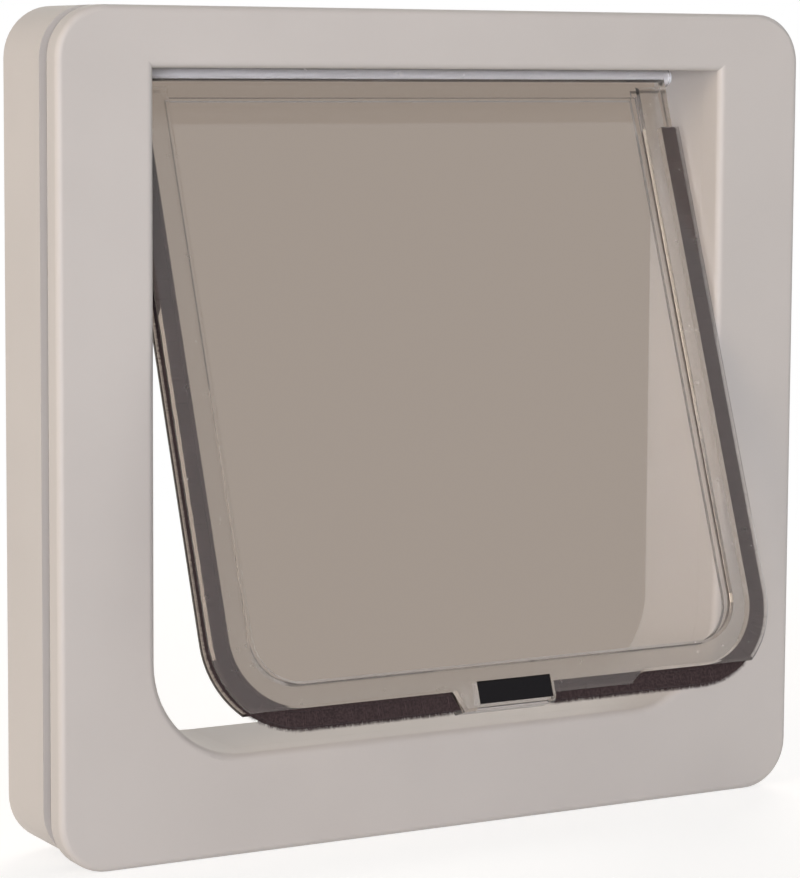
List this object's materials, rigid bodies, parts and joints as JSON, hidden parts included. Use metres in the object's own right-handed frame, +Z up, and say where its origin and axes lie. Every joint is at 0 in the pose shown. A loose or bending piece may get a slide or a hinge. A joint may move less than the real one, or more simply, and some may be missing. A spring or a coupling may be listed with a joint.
{
  "type": "cat flap",
  "caption": "Moulded cat flap for a door: outer and inner frames clamped by screws, and a clear flap edged with pile that swings both ways on a hinge rod and is locked by bolts.",
  "frame": {"origin": "middle of the base, straight under the hinge axis", "axes": "+X along the width, to the right as seen from the front; +Y from the front of the door to its back; +Z up"},
  "size_m": [0.21, 0.0697, 0.204],
  "materials": {
    "frame_plastic": "fine moulded grain, off-white",
    "clear_plastic": "clear, polished",
    "pile": "dense dark nylon pile",
    "ferrite": "matt black ferrite",
    "steel": "plain stainless",
    "bolt_plastic": "moulded, off-white"
  },
  "bodies": {
    "frame": {"outer_frame": "frame_plastic", "inner_frame": "frame_plastic", "hinge_rod": "bolt_plastic", "rod_caps": "frame_plastic", "sill_magnet": "ferrite", "magnet_retainer": "frame_plastic", "lock_retainer": "frame_plastic", "clamp_screws": "steel", "screw_caps": "frame_plastic"},
    "flap": {"flap_panel": "clear_plastic", "flap_magnet": "ferrite", "pile_strip_left": "pile", "pile_strip_right": "pile"},
    "inward_lock": {"lock_bolt_inward": "bolt_plastic", "lock_thumb_inward": "bolt_plastic"},
    "outward_lock": {"lock_bolt_outward": "bolt_plastic", "lock_thumb_outward": "bolt_plastic"}
  },
  "joints": [
    {"name": "flap_swing", "type": "hinge", "parent": "frame", "child": "flap", "pos_m": [0, 0, 0.1876], "axis": [-1, 0, 0], "range_deg": [-99.8, 60.2]},
    {"name": "inward_lock_slide", "type": "slide", "parent": "frame", "child": "inward_lock", "axis": [0, 0, 1], "range_m": [0, 0.009]},
    {"name": "outward_lock_slide", "type": "slide", "parent": "frame", "child": "outward_lock", "axis": [0, 0, 1], "range_m": [0, 0.009]}
  ]
}
